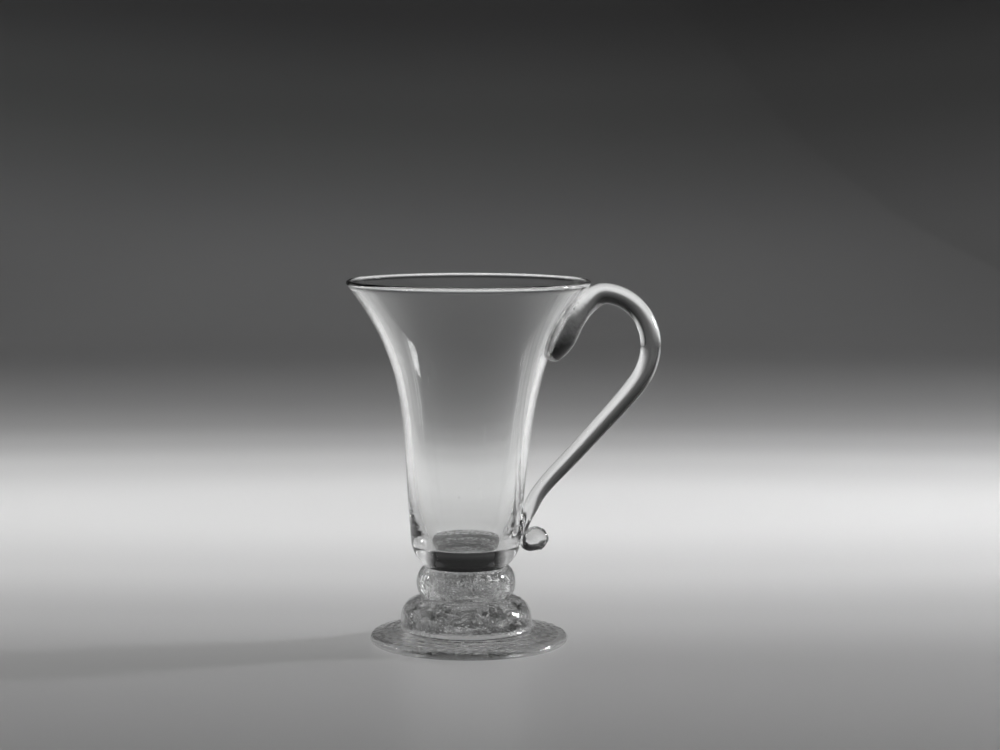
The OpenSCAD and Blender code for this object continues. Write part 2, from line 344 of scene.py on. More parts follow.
def makeGlass(name, striae, rings, swell, wear, bump, lumps=0.0, grain=0.0, frost=0.0, paintedShade=0.0,
              ior=glassIor):
    # clear glass with the hand-blown surface on its height, roughness and tint; the tint can take dark
    # spots of painted shade
    glass = bpy.data.materials.new(name)
    glass.use_nodes = True
    tree = glass.node_tree
    shader = tree.nodes["Principled BSDF"]
    shader.inputs["Transmission Weight"].default_value = 1.0
    shader.inputs["IOR"].default_value = ior
    surface = addNode(tree, "ShaderNodeGroup", node_tree=blownSurface)
    amounts = {"Striae": striae, "Rings": rings, "Swell": swell, "Lumps": lumps, "Grain": grain,
               "Wear": wear, "Frost": frost, "PaintedShade": paintedShade}
    for label, value in amounts.items():
        surface.inputs[label].default_value = value
    bumpNode = addNode(tree, "ShaderNodeBump")
    bumpNode.inputs["Strength"].default_value = 1.0
    bumpNode.inputs["Distance"].default_value = bump * mm
    tree.links.new(surface.outputs["Height"], bumpNode.inputs["Height"])
    tree.links.new(bumpNode.outputs["Normal"], shader.inputs["Normal"])
    tree.links.new(surface.outputs["Roughness"], shader.inputs["Roughness"])
    tree.links.new(surface.outputs["Tint"], shader.inputs["Base Color"])
    return glass


def makeSeam():
    # where two gathers are fused the glass runs on, so light goes straight through
    seam = bpy.data.materials.new("fusedSeam")
    seam.use_nodes = True
    seam.node_tree.nodes["Principled BSDF"].inputs["Alpha"].default_value = 0.0
    return seam


# the cavity floor's finish: worn, with dark spots of painted shade in its tint
shadedFloorGlass = makeGlass("shadedFloorGlass", striae=0.0, rings=0.0, swell=0.4, wear=1.0, bump=0.02, paintedShade=1.0)
bowlGlass = makeGlass("bowlGlass", striae=0.8, rings=1.0, swell=0.4, wear=0.4, bump=0.06)
knopGlass = makeGlass("knopGlass", striae=0.2, rings=0.4, swell=1.0, wear=0.3, bump=0.12)
beadGlass = makeGlass("beadGlass", striae=0.0, rings=0.0, swell=0.3, wear=0.0, bump=0.05)
beadSkin = makeGlass("beadSkin", striae=0.0, rings=0.0, swell=0.2, wear=1.0, bump=0.3, grain=1.0, ior=1.12)
footGlass = makeGlass("footGlass", striae=0.2, rings=0.2, swell=1.0, wear=0.4, bump=0.12, lumps=3.0,
                      grain=0.3)
underGlass = makeGlass("underGlass", striae=0.0, rings=2.0, swell=0.5, wear=2.0, bump=0.25, grain=0.8,
                       frost=0.08)
handleGlass = makeGlass("handleGlass", striae=0.1, rings=0.1, swell=0.6, wear=0.3, bump=0.06)
workedGlass = makeGlass("workedGlass", striae=0.1, rings=0.1, swell=1.0, wear=0.5, bump=0.12, lumps=1.2,
                        grain=0.2)
# the finish of the thread of air at the knop's foot: dark spots of painted shade in its tint, so it shows
# as a dark line
shadedCreaseGlass = makeGlass("shadedCreaseGlass", striae=0.0, rings=0.0, swell=0.3, wear=1.0, bump=0.05, paintedShade=1.0)
scarGlass = makeGlass("scarGlass", striae=1.0, rings=1.0, swell=2.0, wear=3.0, bump=0.3)
fusedSeam = makeSeam()
print("finishes made")

# bowl: rounded base, barrel and flare outside, rounded lip, and a cavity with a dished floor inside
bowlForm = {
    "neckR": 12.8, "barrelR": 17.0, "barrelLean": 4.2, "barrelRun": 42.0, "baseH": 8.2, "baseT": 5.6,
    "wallT": 2.3, "thinning": 4.0, "lipT": 1.8, "lipWall": 1.5, "lipLean": 38.0, "flareRun": 28.0,
    "roundShare": 0.3, "floorR": 11.4, "dish": 0.9, "bend": 0.6, "taper": 22.0,
    "oval": 0.12, "wave": 0.05, "cols": 288, "crowd": 0.6,
    "wallSeeds": 16, "seedZ": (34, 92), "seedR": (0.06, 0.13), "seedKey": 11}


def upward(lean):
    # unit direction, radius and height, at a lean from upright in degrees
    return np.array([math.sin(math.radians(lean)), math.cos(math.radians(lean))])


def bowlOutside(form):
    # base curve from the neck to the barrel, then one long curve through the barrel to the lip
    neckZ, rimR, topZ = bowlLow[2], bowlHigh[0], bowlHigh[2]
    neckR, barrelR, baseH = form["neckR"], form["barrelR"], form["baseH"]
    barrelFoot = np.array([barrelR, neckZ + baseH])
    lean, lip = upward(form["barrelLean"]), upward(form["lipLean"])
    lipCentre = np.array([rimR - form["lipT"] / 2, topZ - form["lipT"] / 2])
    lipEdge = lipCentre + form["lipT"] / 2 * np.array([lip[1], -lip[0]])
    base = [(neckR, neckZ), (neckR + 0.45 * (barrelR - neckR), neckZ + 0.25 * baseH),
            barrelFoot - 0.5 * baseH * lean, barrelFoot]
    flare = [barrelFoot, barrelFoot + form["barrelRun"] * lean, lipEdge - form["flareRun"] * lip, lipEdge]
    return base, flare, lipCentre


def wallFaces(form, flare, share, start=0.0):
    # the flare from a start on, and the same moved inwards by a wall that thins late, near the lip, and
    # swells into the round bead of the lip by a bell curve of the distance from it
    t = start + (1 - start) * (1 - (1 - share) ** 1.5)
    run = bezierRun(flare, t)
    into = np.stack([-run[:, 1], run[:, 0]], -1)
    outside = bezierAt(flare, t)
    spare = form["lipT"] - form["lipWall"]
    away = np.linalg.norm(outside - np.array(flare[3]), axis=1, keepdims=True)
    swell = spare * np.exp(-away**2 / (form["lipT"] * spare))
    wall = form["wallT"] + (form["lipWall"] - form["wallT"]) * t[:, None] ** form["thinning"]
    return outside, outside + (wall + swell) * into


def bowlProfile(form):
    # from the neck's disc up the outside, over the lip, down the inner wall and its taper, round a small
    # corner and over the dished floor to the axis
    base, flare, lipCentre = bowlOutside(form)
    neckZ = bowlLow[2]
    disc = flatDisc(form["neckR"], neckZ, 9)
    outside = wallFaces(form, flare, np.linspace(0, 1, 150)[1:])[0]
    outer = np.concatenate([bezier(base, 30), outside])
    lip = arcLine(lipCentre, form["lipT"] / 2, -form["lipLean"], 180 - form["lipLean"], 12)[1:]
    inner = wallFaces(form, flare, np.linspace(0, 1, 76), form["roundShare"])[1]
    floorZ = neckZ + form["baseT"]
    floorR, bend, taper = form["floorR"], form["bend"], upward(form["taper"])
    corner = np.array([floorR, floorZ + form["dish"]])
    start = corner + bend * taper
    rise = inner[0, 1] - start[1]
    run = bezierRun(flare, [form["roundShare"]])[0]
    dish = bezier([(0, floorZ), (0.4 * floorR, floorZ), (0.7 * floorR, floorZ + 0.4 * form["dish"]),
                   corner - np.array([bend, 2 * form["dish"] * bend / floorR])], 20)
    turn = bezier([dish[-1], corner, corner, start], 10, skipFirst=True)
    lowWall = bezier([start, start + 0.3 * rise * taper, inner[0] - 0.4 * rise * run, inner[0]], 30,
                     skipFirst=True)
    floor = np.concatenate([dish, turn, lowWall])
    line = np.concatenate([disc, outer, lip, inner[::-1][1:], floor[::-1][1:]])
    slots = np.zeros(len(line), int)
    slots[:len(disc)] = seamSlot
    return line, slots, outer


bowlLine, bowlBands, bowlOuterLine = bowlProfile(bowlForm)


def bowlRipple(radius, height, angle):
    # slight ovalness that grows up the flare, a slow wave round the wall, and a slight tilt of the rim
    up = smoothStep(bowlLow[2] + 4, bowlHigh[2], height)
    oval = bowlForm["oval"] * up * np.cos(2 * angle + 0.7)
    wave = bowlForm["wave"] * smoothStep(bowlLow[2] + 3, 45, height) * np.cos(3 * angle - height / 11)
    tilt = 0.1 * up**3 * np.cos(angle - 2.2)
    return (oval + wave) * (radius > 1), tilt * (radius > 1)


def wallRadius(height, angle):
    # radius of the bowl's outside at a height and an angle
    radius = np.interp(height, bowlOuterLine[:, 1], bowlOuterLine[:, 0])
    return radius + bowlRipple(radius, height, angle)[0]


# handle: stations of centre radius, height, thickness in the loop's plane, and width, under the rim,
# round the loop, down the straight run, and out into the curled tail
handleForm = {
    "strandT": 6.2, "strandW": 7.0, "lowT": 4.6, "padW": 11.0, "padDrop": 24.4, "loopDrop": 20.0,
    "tailZ": 32.0, "tailT": 7.6, "tailW": 4.4, "tailReach": 8.0, "sides": 72, "steps": 16,
    # stations where the pad ends, the loop comes in and goes out, and the tail starts
    "padEnd": 4.5, "loopIn": (5.0, 6.5), "loopOut": (13.5, 15.0), "tailStart": 16, "evenReach": 7,
    "padSeeds": 90, "lowSeeds": 40, "seedR": (0.12, 0.42), "seedKey": 5}


def handleStations(form):
    # each station is set off from the wall, the rim, the loop's outermost point or the tail
    topZ, rimR, reach, barrelR = bowlHigh[2], bowlHigh[0], handleHigh[0], bowlForm["barrelR"]
    strandT, strandW, lowT, padW = form["strandT"], form["strandW"], form["lowT"], form["padW"]
    padTip, loopZ, tailZ = topZ - form["padDrop"], topZ - form["loopDrop"], form["tailZ"]
    tailT, tailW, tailReach, midX = form["tailT"], form["tailW"], form["tailReach"], reach - strandT / 2

    def wall(z):
        return float(np.interp(z, bowlOuterLine[:, 1], bowlOuterLine[:, 0]))

    tailWall = wall(tailZ)
    return np.array([
        (wall(padTip) + 0.2, padTip, 0.6, 1.6),
        (wall(padTip + 2) + 1.4, padTip + 1.2, 4, 0.6 * padW),
        (wall(padTip + 6) + 2.6, padTip + 5.6, 6.6, 0.92 * padW),
        (wall(padTip + 11) + 2.6, padTip + 11, strandT + 0.6, padW),
        (wall(topZ - 8.6) + 2.4, topZ - 8.6, strandT + 1.2, 0.9 * padW),
        (rimR + 1.5, topZ - 5, strandT + 0.6, 0.3 * padW + 0.6 * strandW),
        (0.5 * (rimR + reach) - 4.9, topZ - 1 - strandT / 2, strandT, strandW),
        (midX - 6.6, topZ - 6.6, strandT, strandW),
        (midX - 1.8, topZ - 12.4, strandT, strandW),
        (midX, loopZ, strandT, strandW),
        (midX - 1.6, loopZ - 7, strandT, strandW),
        (midX - 5.2, loopZ - 13, strandT, strandW),
        (0.53 * (reach + barrelR), 0.5 * (topZ + tailZ) - 4.8, 0.6 * strandT + 0.4 * lowT, strandW),
        (barrelR + 10.8, tailZ + 21.4, 0.2 * strandT + 0.8 * lowT, 0.94 * strandW),
        (barrelR + 5.6, tailZ + 15, lowT, 0.94 * strandW),
        (wall(tailZ + 10) + 2.2, tailZ + 10, lowT, strandW),
        (wall(tailZ + 5.6) + 1, tailZ + 5.6, 0.7 * lowT, 1.05 * strandW),
        (wall(tailZ + 2) + 0.5, tailZ + 1.8, 0.44 * lowT, 1.05 * strandW),
        (tailWall + 0.6, tailZ - 0.8, 0.56 * lowT, strandW),
        (tailWall + 2.1, tailZ - 1.3, 0.68 * tailT, 0.5 * (strandW + tailW)),
        (tailWall + 4.4, tailZ, tailT, tailW),
        (tailWall + tailReach - 1.7, tailZ + 0.5, 0.82 * tailT, 0.84 * tailW),
        (tailWall + tailReach - 0.4, tailZ + 0.7, 0.44 * tailT, 0.5 * tailW),
        (tailWall + tailReach, tailZ + 0.8, 0.1 * tailT, 0.12 * tailW)])


def smoothThrough(stations, steps):
    # a smooth curve through all the stations: each span blends its own two points and the two beside
    last = len(stations) - 1
    t = np.linspace(0, last, last * steps + 1)
    i = np.minimum(t.astype(int), last - 1)
    u = (t - i)[:, None]
    a, b, c, d = (stations[np.clip(i + k, 0, last)] for k in (-1, 0, 1, 2))
    return 0.5 * (2 * b + (c - a) * u + (2 * a - 5 * b + 4 * c - d) * u**2 + (3 * b - a - 3 * c + d) * u**3)


def evened(line, reach):
    # each point becomes the mean of those within a reach on both sides; the two ends stay
    padded = np.concatenate([np.repeat(line[:1], reach, 0), line, np.repeat(line[-1:], reach, 0)])
    sums = np.cumsum(np.concatenate([np.zeros((1, line.shape[1])), padded]), axis=0)
    width = 2 * reach + 1
    return (sums[width:] - sums[:-width]) / width


strand = smoothThrough(handleStations(handleForm), handleForm["steps"])
# the loop between pad and lower end is evened out
station = np.arange(len(strand)) / handleForm["steps"]
loopShare = smoothStep(*handleForm["loopIn"], station) - smoothStep(*handleForm["loopOut"], station)
evenStrand = evened(evened(strand, handleForm["evenReach"]), handleForm["evenReach"])
strand += loopShare[:, None] * (evenStrand - strand)
strandRun = np.gradient(strand[:, :2], axis=0)
strandRun /= np.linalg.norm(strandRun, axis=1, keepdims=True)


def insideStrand(points):
    # whether points lie in the strand's drawn volume: the least oval distance to any of its sections
    dx = points[:, 0, None] - strand[None, :, 0]
    dz = points[:, 2, None] - strand[None, :, 1]
    along = dx * strandRun[:, 0] + dz * strandRun[:, 1]
    across = dx * strandRun[:, 1] - dz * strandRun[:, 0]
    oval = (2 * across / strand[:, 2]) ** 2 + (2 * points[:, 1, None] / strand[:, 3]) ** 2
    return np.where(np.abs(along) < 0.5, oval, 9.0).min(axis=1) < 1


def bowlSeeds(form):
    # a few seeds of air in the middle of the wall, drawn out upwards
    rng = np.random.default_rng(form["seedKey"])
    count = form["wallSeeds"]
    turn, high = rng.uniform(0, 2 * np.pi, count), rng.uniform(*form["seedZ"], count)
    radius = wallRadius(high, turn) - 0.5 * form["wallT"]
    places = np.stack([radius * np.cos(turn), radius * np.sin(turn), high], -1)
    return [airShells(places, rng.uniform(*form["seedR"], count), (1, 1, 4))]


def makeBowl():
    # the profile turned about the axis, with seeds of air in its wall
    angles = turnAngles(bowlForm["cols"], bowlForm["crowd"])
    points, quads, fans, quadSlots, fanSlots = closedTurn(bowlLine, bowlBands, angles, bowlRipple)
    # the wall under the handle's pad and lower end is fused to it
    centres = points[quads].mean(axis=1)
    rows = np.repeat(np.arange(len(bowlLine) - 3), bowlForm["cols"])
    firstRow = np.count_nonzero(bowlBands == seamSlot) - 1
    lastRow = firstRow + len(bowlOuterLine)
    outside = (rows >= firstRow) & (rows < lastRow)
    near = outside & (centres[:, 0] > 12) & (np.abs(centres[:, 1]) < 8)
    quadSlots[np.flatnonzero(near)[insideStrand(centres[near])]] = seamSlot
    # the floor of the cavity is dulled by wear and darkened in spots by painted shade
    inside = rows > lastRow
    quadSlots[inside & (np.hypot(centres[:, 0], centres[:, 1]) < bowlForm["floorR"])] = workedSlot
    points, faces, slots = joined((points, quads, fans, quadSlots, fanSlots), bowlSeeds(bowlForm))
    points[:, 0] += leanOf(points[:, 2])
    piece = addPiece("bowl", points, faces, slots, [bowlGlass, fusedSeam, shadedFloorGlass])
    settle(piece, "bowl")


makeBowl()


def handleSeeds(form):
    # air caught where the strand was pressed on: drawn-out seeds just off the wall, at the pad and low down
    rng = np.random.default_rng(form["seedKey"])
    airs = []
    padZ = (bowlHigh[2] - form["padDrop"] + 2.5, bowlHigh[2] - 7)
    lowZ = (form["tailZ"] + 1, form["tailZ"] + 10)
    for count, (low, high), wide in ((form["padSeeds"], padZ, 3.2), (form["lowSeeds"], lowZ, 2.2)):
        z = rng.uniform(low, high, count)
        y = rng.uniform(-wide, wide, count)
        x = np.sqrt(wallRadius(z, y / 25) ** 2 - y**2) + rng.uniform(0.45, 0.8, count)
        sizes = rng.uniform(*form["seedR"], count)
        airs.append(airShells(*keepApart(np.stack([x, y, z], -1), sizes), (0.6, 0.8, 1.6)))
    return airs


def makeHandle():
    # oval sections carried along the strand; what would lie inside the bowl is laid on its wall
    sides = handleForm["sides"]
    a = np.linspace(0, 2 * np.pi, sides, endpoint=False)
    off = strand[:, 2, None] / 2 * np.cos(a)
    x = strand[:, 0, None] + off * strandRun[:, 1, None]
    y = strand[:, 3, None] / 2 * np.sin(a)
    z = strand[:, 1, None] - off * strandRun[:, 0, None]
    radius, angle = np.hypot(x, y), np.arctan2(y, x)
    wall = wallRadius(z, angle)
    laid = radius < wall
    radius = np.where(laid, wall, radius)
    rings = np.stack([radius * np.cos(angle), radius * np.sin(angle), z], -1)
    count = len(rings)
    i = np.arange(count - 1)[:, None] * sides
    j = np.arange(sides)[None, :]
    k = (j + 1) % sides
    quads = np.stack([i + j, i + k, i + sides + k, i + sides + j], -1).reshape(-1, 4)
    quadLaid = laid.reshape(-1)[quads].all(axis=1)
    points = np.concatenate([rings.reshape(-1, 3), rings[0].mean(0)[None], rings[-1].mean(0)[None]])
    first, last = count * sides, count * sides + 1
    end = (count - 1) * sides
    fans = np.concatenate([
        np.stack([np.full(sides, first), k[0], j[0]], -1),
        np.stack([end + j[0], end + k[0], np.full(sides, last)], -1)])
    # pad and tail were pressed and pinched with a tool
    station = np.repeat(np.arange(count - 1), sides) / handleForm["steps"]
    worked = (station < handleForm["padEnd"]) | (station > handleForm["tailStart"])
    free = np.where(worked, workedSlot, openSlot)
    shell = points, quads, fans, np.where(quadLaid, seamSlot, free), np.full(len(fans), workedSlot)
    points, faces, slots = joined(shell, handleSeeds(handleForm))
    radius, angle = np.hypot(points[:, 0], points[:, 1]), np.arctan2(points[:, 1], points[:, 0])
    near = 1 - smoothStep(2, 16, radius - wallRadius(points[:, 2], angle))
    points[:, 0] += leanOf(points[:, 2]) * near
    piece = addPiece("handle", points, faces, slots, [handleGlass, fusedSeam, workedGlass])
    settle(piece, "handle")


makeHandle()


# knop: a pricked core with air beads, and the gather that covers it
knopForm = {
    "seatR": 13.4, "coverT": 2.6, "cols": 192, "coreCols": 96, "lump": 0.1, "skin": 0.06,
    "beadRows": (0.12, 0.24, 0.36, 0.48, 0.6, 0.72, 0.84), "beadsInRow": 34, "beadR": (0.18, 0.40),
    "seeds": 2400, "seedR": (0.07, 0.24), "seedKey": 7}

knopTop, knopFoot = coverHigh[2], coverLow[2]


def knopCurve(form):
    # outside of the knop: one curve from the neck, out to the widest ring, and in to the seat
    knopR, tall = coverHigh[0], knopTop - knopFoot
    pull = (8 * knopR - bowlForm["neckR"] - form["seatR"]) / 6
    return [(bowlForm["neckR"], knopTop), (pull, knopTop - 0.16 * tall),
            (pull, knopFoot + 0.16 * tall), (form["seatR"], knopFoot)]


def coreCurve(form):
    # outside of the core: the same kind of curve, a cover's thickness inside, and narrow at its foot
    knopR, tall = coverHigh[0] - form["coverT"], knopTop - knopFoot
    topR, footR = bowlForm["neckR"] - form["coverT"], 0.6 * (form["seatR"] - form["coverT"])
    pull = (8 * knopR - topR - footR) / 6
    coreZ = coreLow[2]
    return [(topR, knopTop), (pull, knopTop - 0.2 * tall), (pull, coreZ + 0.1 * tall), (footR, coreZ)]


def knopRipple(radius, height, angle):
    # soft lumps round the knop, none at the neck and the seat
    t = np.clip((height - knopFoot) / (knopTop - knopFoot), 0, 1)
    free = np.sin(np.pi * t) * smoothStep(12.0, 14.5, radius)
    lumps = np.cos(5 * angle + 1.1) + 0.8 * np.cos(9 * angle - 2.0 * t * np.pi)
    return knopForm["lump"] * free * lumps, 0 * radius * angle


def makeCover():
    # the knop's outside and the core's outside as one cup, open only on fused seams
    form = knopForm
    outer = bezier(knopCurve(form), 40)[::-1]
    inner = bezier(coreCurve(form), 30)
    under = flatDisc(form["seatR"], knopFoot, 8)
    cup = flatDisc(inner[-1, 0], coreLow[2], 8)[::-1]
    line = np.concatenate([under, outer, inner, cup])
    slots = np.full(len(line), seamSlot)
    slots[len(under):len(under) + len(outer) - 1] = openSlot
    points, quads, fans, quadSlots, fanSlots = closedTurn(line, slots, turnAngles(form["cols"]), knopRipple)
    points[:, 0] += leanOf(points[:, 2])
    faces = quads.tolist() + fans.tolist()
    slots = np.concatenate([quadSlots, fanSlots])
    piece = addPiece("knop_cover", points, faces, slots, [knopGlass, fusedSeam])
    settle(piece, "knop_cover")


makeCover()


def beadPlaces(form):
    # beads in staggered rows just inside the core's skin, with finer seeds scattered all through it
    rng = np.random.default_rng(form["seedKey"])
    steps = 40
    skin = bezier(coreCurve(form), steps + 1)
    places, sizes = [], []
    for row, share in enumerate(form["beadRows"]):
        seat = skin[int(round(share * steps))]
        count = form["beadsInRow"]
        turn = 2 * np.pi * (np.arange(count) + 0.5 * (row % 2) + rng.uniform(-0.3, 0.3, count)) / count
        size = rng.uniform(*form["beadR"], count)
        depth = seat[0] - size - rng.uniform(0.15, 0.9, count)
        high = seat[1] + rng.uniform(-0.4, 0.4, count)
        places.append(np.stack([depth * np.cos(turn), depth * np.sin(turn), high], -1))
        sizes.append(size)
    count = form["seeds"]
    share = rng.uniform(0.03, 0.97, count)
    seat = np.stack([np.interp(share, np.linspace(0, 1, steps + 1), skin[:, c]) for c in (0, 1)], -1)
    depth = (seat[:, 0] - 0.4) * np.sqrt(rng.uniform(0.02, 1, count))
    turn = rng.uniform(0, 2 * np.pi, count)
    places.append(np.stack([depth * np.cos(turn), depth * np.sin(turn), seat[:, 1]], -1))
    sizes.append(form["seedR"][0] + (form["seedR"][1] - form["seedR"][0]) * rng.uniform(0, 1, count) ** 2)
    places, sizes = np.concatenate(places), np.concatenate(sizes)
    low, high = coreLow[2] + sizes + 0.15, knopTop - sizes - 0.15
    places[:, 2] = np.clip(places[:, 2], low, high)
    return keepApart(places, sizes)


def makeCore():
    # the core's curve, drawn in by the thickness of a skin, with beads and seeds of air in it
    form = knopForm
    side = bezier(coreCurve(form), 30)[::-1]
    under = flatDisc(side[0, 0], coreLow[2], 6)
    over = flatDisc(side[-1, 0], knopTop, 6)[::-1]
    line = np.concatenate([under, side, over]) * (1 - form["skin"] / 10, 1)
    line[:, 1] = np.clip(line[:, 1], coreLow[2] + form["skin"], knopTop - form["skin"])
    slots = np.full(len(line), seamSlot)
    shell = closedTurn(line, slots, turnAngles(form["coreCols"]))
    points, faces, slots = joined(shell, [airShells(*beadPlaces(form))])
    points[:, 0] += leanOf(points[:, 2])
    piece = addPiece("knop_core", points, faces, slots, [beadGlass, beadSkin])
    settle(piece, "knop_core")


makeCore()


# foot: seat, rounded dome, stepped plate with a rounded edge, flat resting ring and hollow underside
footForm = {
    "domeR": 20.3, "stepH": 4.4, "edgeT": 2.8, "domeT": 5.7, "restW": 2.0, "underRise": 1.2,
    "scarR": 6.8, "ring": 0.08, "wobble": 0.12, "cols": 288,
    "crownSeeds": 1300, "crownSeedR": 17.5, "plateSeeds": 90, "plateSeedR": (22, 28.4),
    "seedR": (0.07, 0.26), "seedKey": 3,
    "threadR": (13.2, 14.0), "threadZ": (9.2, 10.2), "threadT": (0.08, 0.24)}


def footProfile(form):
    # from the crown of the hollow down and out to the resting ring, round the edge, in over the plate and
    # the cove, and up the dome to the seat
    domeH, footR, seatR = footHigh[2], footHigh[0], knopForm["seatR"]
    domeR, stepH, edgeR = form["domeR"], form["stepH"], form["edgeT"] / 2
    hollowR, crownZ, crownR = domeR - form["domeT"], domeH - form["domeT"], form["scarR"] + 1
    drop = domeH - stepH
    seat = flatDisc(seatR, domeH, 8)
    shoulder = bezier([(seatR, domeH), (seatR + 0.75 * (domeR - seatR), domeH - 0.04 * drop),
                       (domeR, domeH - 0.3 * drop), (domeR, domeH - 0.8 * drop)], 40)
    cove = bezier([(domeR, domeH - 0.8 * drop), (domeR, stepH + 0.3), (domeR + 0.3, stepH),
                   (domeR + 1.3, stepH - 0.15)], 20, skipFirst=True)
    plateEnd = np.array([footR - edgeR, form["edgeT"]])
    plate = cove[-1] + np.linspace(0, 1, 40)[1:-1, None] * (plateEnd - cove[-1])
    edge = arcLine(plateEnd - np.array([0, edgeR]), edgeR, 90, -90, 24)
    rest = np.array([[footR - edgeR - form["restW"], 0]])
    under = np.stack([np.linspace(rest[0, 0], hollowR, 20)[1:-1],
                      np.linspace(0, form["underRise"], 20)[1:-1]], -1)
    hollow = bezier([(hollowR, form["underRise"]),
                     (hollowR - 0.3, form["underRise"] + 0.7 * (crownZ - form["underRise"])),
                     (hollowR - 0.2 * (hollowR - crownR), crownZ), (crownR, crownZ)], 40)
    crown = flatDisc(crownR, crownZ, 10)[::-1]
    line = np.concatenate([seat, shoulder, cove, plate, edge, rest, under, hollow, crown])[::-1]
    slots = np.zeros(len(line), int)
    slots[len(line) - len(seat) - 1:] = seamSlot
    slots[:len(crown) - 1] = seamSlot
    slots[len(crown) - 1:len(crown) + len(hollow) - 1] = workedSlot
    return line, slots


def footRipple(radius, height, angle):
    # uneven tooling rings on the plate that fade towards its edge, and a slow wobble of the edge
    onPlate = smoothStep(21, 22.5, radius) * (1 - smoothStep(27.5, 29, radius)) * (height > 1.6)
    waves = np.sin(2.4 * radius + 1.2 * np.sin(2 * angle) + 0.8 * np.sin(5 * angle))
    rings = footForm["ring"] * onPlate * (waves + 0.3 * np.sin(4.3 * radius + np.sin(7 * angle)))
    wobble = footForm["wobble"] * smoothStep(22, 30, radius) * np.cos(2 * angle + 0.4)
    lift = 0.18 * smoothStep(21, 29, radius) * (height > 1.6) * np.cos(angle - 2.9)
    return wobble, rings + lift


def airThread(form, rng):
    # a thin closed tube of air round the axis, where knop and foot were stuck together: its radius, height
    # and thickness are jagged by random steps that are joined by straight lines
    count, sides = 270, 6
    turn = np.linspace(0, 2 * np.pi, count, endpoint=False)
    steps = 60
    knots = np.linspace(0, 2 * np.pi, steps + 1)

    def jagged(low, high):
        levels = rng.uniform(low, high, steps)
        return np.interp(turn, knots, np.append(levels, levels[0]))[:, None]

    middle, height, thick = jagged(*form["threadR"]), jagged(*form["threadZ"]), jagged(*form["threadT"])
    a = np.linspace(0, 2 * np.pi, sides, endpoint=False)
    radius = middle + thick * np.cos(a)
    points = np.stack([radius * np.cos(turn)[:, None], radius * np.sin(turn)[:, None],
                       height + thick * np.sin(a)], -1)
    i = np.arange(count)[:, None]
    j = np.arange(sides)[None, :]
    nextRing, nextSide = (i + 1) % count * sides, (j + 1) % sides
    quads = np.stack([i * sides + j, i * sides + nextSide, nextRing + nextSide, nextRing + j], -1)
    return points.reshape(-1, 3), quads.reshape(-1, 4), np.zeros((0, 3), int)


def footSeeds(form):
    # seeds that run on from the knop into the crown and under the shoulder, and a few in the plate
    rng = np.random.default_rng(form["seedKey"])
    count = form["crownSeeds"]
    radius = form["crownSeedR"] * np.sqrt(rng.uniform(0, 1, count))
    turn = rng.uniform(0, 2 * np.pi, count)
    high = footHigh[2] - 0.4 - 2.2 * smoothStep(12.5, form["crownSeedR"], radius)
    low = footHigh[2] - form["domeT"] + 0.4 - 3.0 * smoothStep(11, 15, radius)
    high = low + (high - low) * rng.uniform(0, 1, count)
    sizes = form["seedR"][0] + (form["seedR"][1] - form["seedR"][0]) * rng.uniform(0, 1, count) ** 2
    inCrown = keepApart(np.stack([radius * np.cos(turn), radius * np.sin(turn), high], -1), sizes)
    count = form["plateSeeds"]
    radius, turn = rng.uniform(*form["plateSeedR"], count), rng.uniform(0, 2 * np.pi, count)
    sizes = rng.uniform(0.08, 0.22, count)
    high = 1.7 + rng.uniform(0, 0.6, count)
    inPlate = keepApart(np.stack([radius * np.cos(turn), radius * np.sin(turn), high], -1), sizes)
    return airShells(*inCrown), airShells(*inPlate, (1.4, 1.4, 0.8)), airThread(form, rng)


def makeFoot():
    # the profile turned about the axis, with seeds and the thread of air in it
    line, slots = footProfile(footForm)
    shell = closedTurn(line, slots, turnAngles(footForm["cols"]), footRipple)
    airs = footSeeds(footForm)
    points, faces, slots = joined(shell, airs)
    # the thread of air takes the finish darkened by painted shade
    slots[-len(airs[-1][1]):] = shadedCreaseSlot
    points[:, 0] += leanOf(points[:, 2])
    piece = addPiece("foot", points, faces, slots, [footGlass, fusedSeam, underGlass, shadedCreaseGlass])
    settle(piece, "foot")


makeFoot()


# pontil scar: a shallow, ragged ring of broken glass on the crown of the hollow
scarForm = {"rough": 0.16, "dish": 0.55, "cols": 120, "rows": 34}


